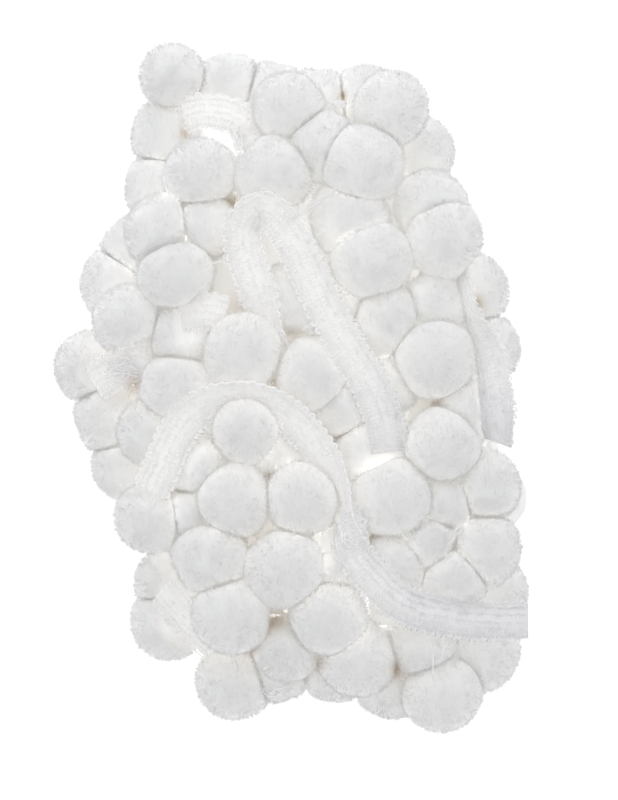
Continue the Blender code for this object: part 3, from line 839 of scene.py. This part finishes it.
def add_pompom(bm, ball, balls, presses, level, lump_height):
    """One cut-yarn ball, pressed by what lies against it and level where it rests."""
    verts = bmesh.ops.create_icosphere(bm, subdivisions=level, radius=1)["verts"]
    directions = np.array([vert.co.normalized() for vert in verts])
    reach = swollen_reaches(ball, balls, presses, directions)
    points = np.array(ball.centre) + directions * reach[:, None]
    free = np.clip((reach / ball.radius - 0.8) / 0.2, 0, 1)
    reach = reach - PILE_ROOM * free + lumps(points, lump_height) * free
    points = np.array(ball.centre) + directions * reach[:, None]
    points[:, 2] = np.maximum(points[:, 2], 0.0)
    for vert, point in zip(verts, points):
        vert.co = point
    return crease_depths(points, directions, np.array(ball.centre))


def pile_points(ball, balls, presses, settings, seed):
    """Four corners of each fibre of one pompom: its tip and three at its root."""
    chance = np.random.RandomState(seed)
    directions = chance.normal(size=(settings.pile_count, 3))
    directions /= np.linalg.norm(directions, axis=1)[:, None]
    reach = swollen_reaches(ball, balls, presses, directions)
    open_side = (reach > 0.86 * ball.radius) & (directions[:, 2] > PILE_LOWEST)
    directions = directions[open_side]
    reach = reach[open_side]
    count = len(reach)
    lean = chance.normal(size=(count, 3)) * 0.38
    length = settings.pile_length * chance.uniform(0.45, 1.0, size=count)
    heading = directions + lean
    heading /= np.linalg.norm(heading, axis=1)[:, None]
    root = np.array(ball.centre) + directions * (reach - 1.3 * PILE_ROOM)[:, None]
    tip = root + heading * (length + 0.1 * MM)[:, None]
    level = np.cross(heading, chance.normal(size=(count, 3)))
    level /= np.linalg.norm(level, axis=1)[:, None]
    other = np.cross(heading, level)
    corners = [tip]
    for step in range(3):
        angle = step * math.tau / 3
        spoke = level * math.cos(angle) + other * math.sin(angle)
        corners.append(root + spoke * settings.pile_width)
    points = np.stack(corners, axis=1)
    points[:, :, 2] = np.maximum(points[:, :, 2], 0.0)
    creases = crease_depths(root, directions, np.array(ball.centre))
    return points, np.repeat(creases, len(corners))


def pile_mesh(name, points):
    """Slim three-sided fibres, one for each set of tip and root corners."""
    bm = bmesh.new()
    bmesh.ops.create_cone(bm, cap_ends=False, segments=3, radius1=1, radius2=0, depth=1)
    bmesh.ops.remove_doubles(bm, verts=bm.verts[:], dist=0.001)
    bm.verts.ensure_lookup_table()
    order = sorted(range(4), key=lambda index: -bm.verts[index].co.z)
    rank = {vert: place for place, vert in enumerate(order)}
    root_turn = (bm.verts[order[1]].co.cross(bm.verts[order[2]].co)).z
    faces = np.array([[rank[vert.index] for vert in face.verts] for face in bm.faces])
    bm.free()
    if root_turn < 0:
        faces = faces[:, ::-1]
    count = len(points)
    corners = (faces[None] + 4 * np.arange(count)[:, None, None]).reshape(-1)
    mesh = bpy.data.meshes.new(name)
    mesh.vertices.add(4 * count)
    mesh.vertices.foreach_set("co", points.reshape(-1).astype(np.float32))
    mesh.loops.add(len(corners))
    mesh.loops.foreach_set("vertex_index", corners.astype(np.int32))
    mesh.polygons.add(3 * count)
    mesh.polygons.foreach_set("loop_start", (3 * np.arange(3 * count)).astype(np.int32))
    mesh.update(calc_edges=True)
    return mesh


# Knitted tape

class Route:
    """A smooth way along a length of tape, read by distance."""

    def __init__(self, frames):
        self.middles = np.array([frame[0] for frame in frames])
        self.sides = np.array([frame[1] for frame in frames])
        self.faces = np.array([frame[2] for frame in frames])
        steps = np.linalg.norm(np.diff(self.middles, axis=0), axis=1)
        self.stations = np.concatenate([[0.0], np.cumsum(steps)])
        self.length = float(self.stations[-1])

    def points(self, along, across, out, crumple=0.0):
        """Points at distances along the tape, across it and out of its face."""
        place = [np.interp(along, self.stations, self.middles[:, axis]) for axis in range(3)]
        side = [np.interp(along, self.stations, self.sides[:, axis]) for axis in range(3)]
        face = [np.interp(along, self.stations, self.faces[:, axis]) for axis in range(3)]
        place, side, face = (np.stack(part, axis=-1) for part in (place, side, face))
        side /= np.linalg.norm(side, axis=-1)[..., None]
        face /= np.linalg.norm(face, axis=-1)[..., None]
        spots = place + side * np.asarray(across)[..., None] + face * np.asarray(out)[..., None]
        if crumple:
            spots += [noise.noise_vector(Vector(spot) / CRUMPLE_PITCH) * crumple for spot in spots]
        return spots


def tape_route(name):
    """The route of one length of tape, finer than the frame's on a run."""
    key = name[:-len("_run")]
    if key in SURFACE_RUNS:
        return Route(run_frames(smooth_route(SURFACE_RUNS[key].route, 1.0 * MM)))
    return Route(lay_out()[0][name])


def band_mesh(name, route, pitch):
    """The thin closed band that the yarn lies on."""
    half = TAPE_WIDTH / 2 - BAND_TRIM
    count = max(2, round(route.length / pitch))
    bm = bmesh.new()
    lift = BAND_THICKNESS / 2
    along = np.linspace(0, route.length, count + 1)
    corners = [route.points(along, np.full(count + 1, across), np.full(count + 1, out))
               for across, out in ((-half, -lift), (half, -lift), (half, lift), (-half, lift))]
    end_face = bm.faces.new([bm.verts.new(corner[0]) for corner in corners])
    for index in range(1, count + 1):
        grown = bmesh.ops.extrude_face_region(bm, geom=[end_face, *end_face.edges])["geom"]
        end_face = next(item for item in grown if isinstance(item, bmesh.types.BMFace))
        for vert, corner in zip(end_face.verts, corners):
            vert.co = corner[index]
    bmesh.ops.recalc_face_normals(bm, faces=bm.faces[:])
    return mesh_from(name, bm)


def weft_path(route, settings, fine, chance):
    """The yarn that goes back and forth across the tape, with a loop at each edge."""
    pitch = settings.course_pitch
    half = TAPE_WIDTH / 2 - 0.35 * MM
    count = int(route.length / pitch)
    spots = np.linspace(-half, half, 13 if fine else 5)
    nearest = np.min(np.abs(spots[:, None] - np.array(WALES)[None] * MM), axis=1)
    rise = np.where(nearest < 0.5 * MM, -0.05 * MM, WEFT_RISE) if fine else np.full(5, WEFT_RISE)
    path = []
    for course in range(count):
        start = (course + 0.5) * pitch
        order = slice(None) if course % 2 == 0 else slice(None, None, -1)
        across = spots[order]
        out = rise[order] * (1 if course % 2 == 0 else 0.8)
        along = start + chance.uniform(-0.08, 0.08, size=len(across)) * pitch
        path.append(route.points(along, across, out, CRUMPLE))
        if course < count - 1:
            edge = math.copysign(half + EDGE_LOOP * chance.uniform(0.5, 1.3), across[-1])
            turn = route.points(np.array([start + 0.25 * pitch, start + 0.75 * pitch]),
                                np.array([edge, edge]), np.array([0.1 * MM, 0.1 * MM]), CRUMPLE)
            path.append(turn)
    return np.concatenate(path)


def wale_path(route, settings, across, sense, per_course, chance):
    """One column of chain stitches along the tape."""
    pitch = settings.course_pitch
    count = int(route.length / pitch) * per_course
    steps = np.arange(count + 1)
    along = np.clip(steps * pitch / per_course, 0, route.length)
    phase = steps * math.pi
    sway = across * MM + WALE_WAVE * np.cos(phase) * sense
    sway += chance.uniform(-0.12, 0.12, size=len(steps)) * MM
    out = WALE_RISE + chance.uniform(-0.2, 0.2, size=len(steps)) * MM
    return route.points(along, sway, out, CRUMPLE)


def joined(name, meshes):
    """One mesh of several."""
    bm = bmesh.new()
    for mesh in meshes:
        bm.from_mesh(mesh)
        bpy.data.meshes.remove(mesh)
    return mesh_from(name, bm)


# Edging and threads

def edging_path(strip, route, chance):
    """The looped yarn of one edge strip."""
    pitch = 1.5 * MM
    inner = strip.side * (TAPE_WIDTH / 2 - 0.6 * MM)
    outer = strip.side * (TAPE_WIDTH / 2 + 0.4 * MM)
    count = int(route.length / pitch)
    along = []
    across = []
    out = []
    for loop in range(count):
        start = loop * pitch
        reach = outer + strip.side * chance.uniform(-0.4, 0.5) * MM
        along += [start, start + 0.2 * pitch, start + 0.6 * pitch, start + 0.8 * pitch]
        across += [inner, reach, reach, inner]
        out += [0.1 * MM, 0.25 * MM, -0.25 * MM, -0.1 * MM]
    return route.points(np.array(along), np.array(across), np.array(out))


def thread_paths(tie, ball, chance):
    """The fine threads that hold one pompom to its strip."""
    paths = []
    along = (tie.end - tie.start).normalized()
    beside = along.orthogonal().normalized()
    above = along.cross(beside)
    end = ball.centre.lerp(tie.start, 0.35)
    for _ in range(3):
        spread = beside * chance.uniform(-1, 1) + above * chance.uniform(-1, 1)
        start = tie.start + spread * THREAD_SPREAD * 0.6
        middle = start.lerp(end, 0.5) + spread * chance.uniform(-0.6, 0.6) * THREAD_SPREAD
        paths.append(np.array([start, start.lerp(middle, 0.5), middle, middle.lerp(end, 0.5), end]))
    return paths


def knot_path(knot, chance):
    """Yarn wound loosely round and round in one place."""
    turn = np.linspace(0, knot.turns * math.tau, knot.turns * KNOT_STEPS)
    phase = chance.uniform(0, math.tau, size=3)
    swing = np.zeros((len(turn), 3))
    for rate in KNOT_RATES:
        pace = rate * chance.uniform(0.7, 1.4, size=3)
        swing += np.sin(turn[:, None] * pace + phase * rate) / len(KNOT_RATES)
    return (np.array(knot.middle) + swing * np.array(knot.half)) * MM


def strand_paths(strands, chance):
    """Loose threads side by side from one place to another."""
    start = np.array(strands.start)
    end = np.array(strands.end)
    parts = np.linspace(0, 1, 7)[:, None]
    paths = []
    for _ in range(strands.number):
        ends = chance.uniform(-1, 1, size=(2, 3)) * strands.spread * (1, 1, 0.4)
        bow = chance.uniform(-1, 1, size=3) * strands.spread * (1, 1, 0.4)
        wave = chance.uniform(-0.3, 0.3, size=(7, 3)) * strands.spread
        middle = start + (end - start) * parts
        path = middle + ends[0] * (1 - parts) + ends[1] * parts + bow * np.sin(parts * math.pi)
        paths.append((path + wave) * MM)
    return paths


# Materials

def new_group(name, inputs, outputs):
    """A shader node group with named sockets."""
    group = bpy.data.node_groups.new(name, "ShaderNodeTree")
    for label, kind, value in inputs:
        socket = group.interface.new_socket(label, in_out="INPUT", socket_type=kind)
        socket.default_value = value
    for label, kind in outputs:
        group.interface.new_socket(label, in_out="OUTPUT", socket_type=kind)
    group.nodes.new("NodeGroupInput")
    group.nodes.new("NodeGroupOutput")
    return group


def add_node(tree, kind, inputs=None, **settings):
    """A node with its settings, and its inputs either set or linked."""
    node = tree.nodes.new(kind)
    for key, value in settings.items():
        setattr(node, key, value)
    for key, value in (inputs or {}).items():
        if isinstance(value, bpy.types.NodeSocket):
            tree.links.new(value, node.inputs[key])
        else:
            node.inputs[key].default_value = value
    return node


def crease_group():
    """Painted light and shade: a warmer tint and a glow on the yarn between the pompoms, and tan
    shade in deep spots, where the glow is left out.
    """
    group = new_group("painted_crease_glow", (
        ("Colour", "NodeSocketColor", (1, 1, 1, 1)),
        ("Painted crease tint", "NodeSocketColor", (1, 1, 1, 1)),
        ("Painted shade colour", "NodeSocketColor", (1, 1, 1, 1)),
        ("Light", "NodeSocketColor", (0, 0, 0, 1)),
    ), (("Colour", "NodeSocketColor"), ("Light", "NodeSocketColor")))
    given = group.nodes["Group Input"].outputs
    result = group.nodes["Group Output"].inputs
    crease = add_node(group, "ShaderNodeAttribute", attribute_name="crease")
    spot = add_node(group, "ShaderNodeAttribute", attribute_name="spot")
    deep = add_node(group, "ShaderNodeMapRange", {
        "Value": crease.outputs["Fac"], "From Min": CREASE_START, "From Max": CREASE_END})
    warmed = add_node(group, "ShaderNodeMix", {"Factor": deep.outputs["Result"]}, data_type="RGBA")
    group.links.new(given["Colour"], warmed.inputs[6])
    group.links.new(given["Painted crease tint"], warmed.inputs[7])
    spotted = add_node(group, "ShaderNodeMix", {"Factor": spot.outputs["Fac"]}, data_type="RGBA")
    group.links.new(warmed.outputs[2], spotted.inputs[6])
    group.links.new(given["Painted shade colour"], spotted.inputs[7])
    group.links.new(spotted.outputs[2], result["Colour"])
    clear = add_node(group, "ShaderNodeMath", {0: 1.0, 1: spot.outputs["Fac"]},
                     operation="SUBTRACT")
    lit = add_node(group, "ShaderNodeMath", {
        0: deep.outputs["Result"], 1: clear.outputs["Value"]}, operation="MULTIPLY")
    light = add_node(group, "ShaderNodeVectorMath", {
        0: given["Light"], "Scale": lit.outputs["Value"]}, operation="SCALE")
    group.links.new(light.outputs["Vector"], result["Light"])
    return group


def mottle_group():
    """Cloudy and streaky value of spun yarn, about one half."""
    group = new_group("yarn_mottle", (
        ("Cloud scale", "NodeSocketFloat", 160.0), ("Streak scale", "NodeSocketFloat", 1500.0),
    ), (("Cloud", "NodeSocketFloat"), ("Streak", "NodeSocketFloat")))
    given = group.nodes["Group Input"].outputs
    place = add_node(group, "ShaderNodeTexCoord")
    cloud = add_node(group, "ShaderNodeTexNoise", {
        "Vector": place.outputs["Object"], "Scale": given["Cloud scale"], "Detail": 3.0})
    squeeze = add_node(group, "ShaderNodeMapping", {"Vector": place.outputs["Object"],
                                                    "Scale": (1.0, 0.35, 1.0)})
    streak = add_node(group, "ShaderNodeTexNoise", {
        "Vector": squeeze.outputs["Vector"], "Scale": given["Streak scale"], "Detail": 2.0})
    result = group.nodes["Group Output"].inputs
    group.links.new(cloud.outputs["Fac"], result["Cloud"])
    group.links.new(streak.outputs["Fac"], result["Streak"])
    return group


def shared_group(name, maker):
    return bpy.data.node_groups.get(name) or maker()


def yarn_material(name, settings, sheen, bump, darken, depth_of_light):
    """Soft yarn: mottled colour with a painted warm tint and painted glow in the creases and painted
    tan shade in deep spots, and a fine bump.
    """
    material = bpy.data.materials.new(name)
    material.use_nodes = True
    tree = material.node_tree
    shader = tree.nodes["Principled BSDF"]
    shader.inputs["Roughness"].default_value = 0.95
    shader.inputs["Specular IOR Level"].default_value = 0.15
    shader.inputs["Sheen Weight"].default_value = sheen
    shader.inputs["Sheen Roughness"].default_value = 0.6
    shader.subsurface_method = "BURLEY"
    shader.inputs["Subsurface Weight"].default_value = 1.0 if depth_of_light else 0.0
    shader.inputs["Subsurface Radius"].default_value = (1.0, 0.97, 0.94)
    shader.inputs["Subsurface Scale"].default_value = depth_of_light
    mottle = add_node(tree, "ShaderNodeGroup", node_tree=shared_group("yarn_mottle", mottle_group))
    depth = add_node(tree, "ShaderNodeGroup", {
        "Colour": (*settings.colour, 1), "Painted crease tint": (*settings.painted_crease_tint, 1),
        "Painted shade colour": PAINTED_SHADE_COLOUR, "Light": (*settings.painted_crease_glow, 1)},
        node_tree=shared_group("painted_crease_glow", crease_group))
    # Painted light: the glow in the creases is emission
    tree.links.new(depth.outputs["Light"], shader.inputs["Emission Color"])
    shader.inputs["Emission Strength"].default_value = 1.0
    shade = add_node(tree, "ShaderNodeMapRange", {
        "Value": mottle.outputs["Cloud"], "From Min": 0.3, "From Max": 0.7,
        "To Min": darken, "To Max": 1.0})
    streak = add_node(tree, "ShaderNodeMapRange", {
        "Value": mottle.outputs["Streak"], "From Min": 0.3, "From Max": 0.7,
        "To Min": 0.96, "To Max": 1.0})
    both = add_node(tree, "ShaderNodeMath", operation="MULTIPLY")
    tree.links.new(shade.outputs["Result"], both.inputs[0])
    tree.links.new(streak.outputs["Result"], both.inputs[1])
    tint = add_node(tree, "ShaderNodeVectorMath", operation="SCALE")
    tree.links.new(depth.outputs["Colour"], tint.inputs[0])
    tree.links.new(both.outputs["Value"], tint.inputs["Scale"])
    tree.links.new(tint.outputs["Vector"], shader.inputs["Base Color"])
    relief = add_node(tree, "ShaderNodeBump", {
        "Height": mottle.outputs["Streak"], "Strength": bump, "Distance": 0.2 * MM})
    tree.links.new(relief.outputs["Normal"], shader.inputs["Normal"])
    return material


def shared_material(name, *details):
    return bpy.data.materials.get(name) or yarn_material(name, *details)


# Operators

class TRIM_OT_pompoms(bpy.types.Operator):
    """Make the pompoms of every fringe, with their cut pile"""
    bl_idname = "trim.pompoms"
    bl_label = "Make Pompoms"

    def execute(self, context):
        settings = context.scene.trim_pompoms
        _, strips, balls, ties, patches = lay_out()
        yarn = shared_material("pompom_yarn", settings, 0.5, 0.35, 0.975, 4 * MM)
        fibre = shared_material("pompom_pile", settings, 0.3, 0.0, 0.99, 0.0)
        for strip in strips:
            held = [(number, ball) for number, ball in enumerate(balls)
                    if ties[ball.name].owner == strip.name]
            bm = bmesh.new()
            creases = []
            piles = []
            for number, ball in held:
                presses = (pressing_planes(ball, balls), pressing_panels(ball, patches))
                buried = ball.name.startswith("buried")
                level = BURIED_LEVEL if buried else SHOWN_LEVEL
                creases.append(add_pompom(bm, ball, balls, presses, level, settings.lump_height))
                if not buried:
                    piles.append(pile_points(ball, balls, presses, settings, SEED + number))
            mesh = mesh_from(f"pompoms_{strip.name}", bm)
            points = np.array([vert.co for vert in mesh.vertices])
            give_depths(mesh, np.concatenate(creases), points)
            piece = new_piece(mesh.name, mesh, yarn)
            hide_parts(f"fringe_{strip.name}")
            if piles:
                points = np.concatenate([pile[0] for pile in piles])
                mesh = pile_mesh(f"pile_{strip.name}", points)
                creases = np.concatenate([pile[1] for pile in piles])
                # Painted light: every fibre gets at least a set glow, which lightens the pompoms'
                # rims
                give_depths(mesh, np.maximum(creases, PILE_LIGHT), points.reshape(-1, 3))
                new_piece(mesh.name, mesh, fibre)
        return {"FINISHED"}


class TRIM_OT_tapes(bpy.types.Operator):
    """Make every length of knitted tape"""
    bl_idname = "trim.tapes"
    bl_label = "Make Tapes"

    def execute(self, context):
        settings = context.scene.trim_tapes
        knit = shared_material("tape_yarn", settings, 0.15, 0.3, 0.97, 0.0)
        for name in lay_out()[0]:
            route = tape_route(name)
            fine = name.endswith("_run")
            chance = np.random.RandomState(SEED)
            band = new_piece(f"tape_{name}_band",
                             band_mesh(f"tape_{name}_band", route, settings.course_pitch),
                             knit)
            weft = yarn_mesh("weft", [weft_path(route, settings, fine, chance)],
                             settings.weft_radius, 6 if fine else 4)
            sides = (1, -1)
            wales = yarn_mesh("wales", [
                wale_path(route, settings, across, sense, 2 if fine else 1, chance)
                for across in WALES for sense in sides], settings.wale_radius, 4)
            first = len(weft.vertices)
            yarn = new_piece(f"tape_{name}_yarn", joined(f"tape_{name}_yarn", [weft, wales]),
                             knit)
            if fine:
                light_wales(yarn.data, first)
            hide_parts(f"tape_{name}")
        return {"FINISHED"}


class TRIM_OT_edging(bpy.types.Operator):
    """Make the looped edging beside the tape and the threads to the pompoms"""
    bl_idname = "trim.edging"
    bl_label = "Make Edging"

    def execute(self, context):
        settings = context.scene.trim_tapes
        _, strips, balls, ties, _ = lay_out()
        knit = shared_material("tape_yarn", settings, 0.15, 0.3, 0.97, 0.0)
        for number, strip in enumerate(strips):
            chance = np.random.RandomState(SEED + number)
            loops = yarn_mesh("loops", [edging_path(strip, Route(strip.frames), chance)],
                              LOOP_RADIUS, 4)
            paths = []
            for ball in balls:
                if ties[ball.name].owner == strip.name:
                    paths += thread_paths(ties[ball.name], ball, chance)
            threads = yarn_mesh("threads", paths, THREAD_RADIUS, 4)
            name = f"edging_{strip.name}"
            new_piece(name, joined(name, [loops, threads]), knit)
        return {"FINISHED"}


class TRIM_OT_loose_yarn(bpy.types.Operator):
    """Make the knots and threads of yarn that have come loose from the tape"""
    bl_idname = "trim.loose_yarn"
    bl_label = "Make Loose Yarn"

    def execute(self, context):
        knit = shared_material("tape_yarn", context.scene.trim_tapes, 0.15, 0.3, 0.97, 0.0)
        chance = np.random.RandomState(SEED)
        knots = yarn_mesh("knots", [knot_path(knot, chance) for knot in KNOTS], KNOT_YARN, 4)
        paths = [path for strands in LOOSE_THREADS for path in strand_paths(strands, chance)]
        threads = yarn_mesh("threads", paths, STRAND_YARN, 4)
        new_piece("loose_yarn", joined("loose_yarn", [knots, threads]), knit)
        return {"FINISHED"}


class TRIM_OT_stage(bpy.types.Operator):
    """Make the pale table, the soft light and the camera"""
    bl_idname = "trim.stage"
    bl_label = "Make Stage"

    def execute(self, context):
        settings = context.scene.trim_stage
        scene = context.scene
        bm = bmesh.new()
        bmesh.ops.create_grid(bm, x_segments=1, y_segments=1, size=FLOOR_HALF)
        mesh = mesh_from("table", bm)
        material = bpy.data.materials.new("table")
        material.use_nodes = True
        shader = material.node_tree.nodes["Principled BSDF"]
        shader.inputs["Base Color"].default_value = (*settings.floor_colour, 1)
        shader.inputs["Roughness"].default_value = 0.9
        shader.inputs["Specular IOR Level"].default_value = 0.0
        shader.inputs["Emission Color"].default_value = (1, 1, 1, 1)
        shader.inputs["Emission Strength"].default_value = settings.floor_glow
        mesh.materials.append(material)
        table = bpy.data.objects.new("table", mesh)
        scene.collection.objects.link(table)

        world = bpy.data.worlds.new("surround")
        world.use_nodes = True
        sky = world.node_tree.nodes["Background"]
        sky.inputs["Color"].default_value = (1, 1, 1, 1)
        sky.inputs["Strength"].default_value = settings.sky_strength
        scene.world = world

        key = bpy.data.lights.new("key", "AREA")
        key.shape = "RECTANGLE"
        key.size = 0.6
        key.size_y = 0.3
        key.energy = settings.key_power
        lamp = bpy.data.objects.new("key", key)
        lamp.location = (-0.08, 0.45, 0.34)
        toward = Vector(VIEW_CENTRE) - lamp.location
        lamp.rotation_euler = toward.to_track_quat("-Z", "Y").to_euler()
        lamp.visible_camera = False
        scene.collection.objects.link(lamp)

        data = bpy.data.cameras.new("view")
        data.sensor_fit = "VERTICAL"
        data.sensor_height = SENSOR
        data.sensor_width = SENSOR * 618 / 800
        data.lens = SENSOR * settings.camera_distance / VIEW_HEIGHT
        data.clip_end = 20
        camera = bpy.data.objects.new("view", data)
        camera.location = Vector(VIEW_CENTRE) + Vector((0, 0, settings.camera_distance))
        scene.collection.objects.link(camera)
        scene.camera = camera
        scene.view_settings.view_transform = "Standard"
        scene.view_settings.look = "None"
        scene.cycles.diffuse_bounces = 10
        scene.cycles.max_bounces = 10
        return {"FINISHED"}


class TRIM_PT_panel(bpy.types.Panel):
    """Pompom fringe trim"""
    bl_idname = "TRIM_PT_panel"
    bl_label = "Pompom Fringe Trim"
    bl_space_type = "VIEW_3D"
    bl_region_type = "UI"
    bl_category = "Trim"

    def draw(self, context):
        layout = self.layout
        for group in ("trim_pompoms", "trim_tapes", "trim_stage"):
            settings = getattr(context.scene, group)
            box = layout.box()
            for name in settings.__annotations__:
                box.prop(settings, name)
        for maker in MAKERS:
            layout.operator(maker.bl_idname)


MAKERS = (TRIM_OT_tapes, TRIM_OT_edging, TRIM_OT_loose_yarn, TRIM_OT_pompoms, TRIM_OT_stage)
CLASSES = (PompomSettings, TapeSettings, StageSettings, *MAKERS, TRIM_PT_panel)


def register():
    for entry in CLASSES:
        bpy.utils.register_class(entry)
    bpy.types.Scene.trim_pompoms = PointerProperty(type=PompomSettings)
    bpy.types.Scene.trim_tapes = PointerProperty(type=TapeSettings)
    bpy.types.Scene.trim_stage = PointerProperty(type=StageSettings)


def unregister():
    del bpy.types.Scene.trim_stage
    del bpy.types.Scene.trim_tapes
    del bpy.types.Scene.trim_pompoms
    for entry in reversed(CLASSES):
        bpy.utils.unregister_class(entry)


def main():
    register()
    bpy.ops.trim.tapes()
    bpy.ops.trim.edging()
    bpy.ops.trim.loose_yarn()
    bpy.ops.trim.pompoms()
    bpy.ops.trim.stage()


if __name__ == "__main__":
    main()
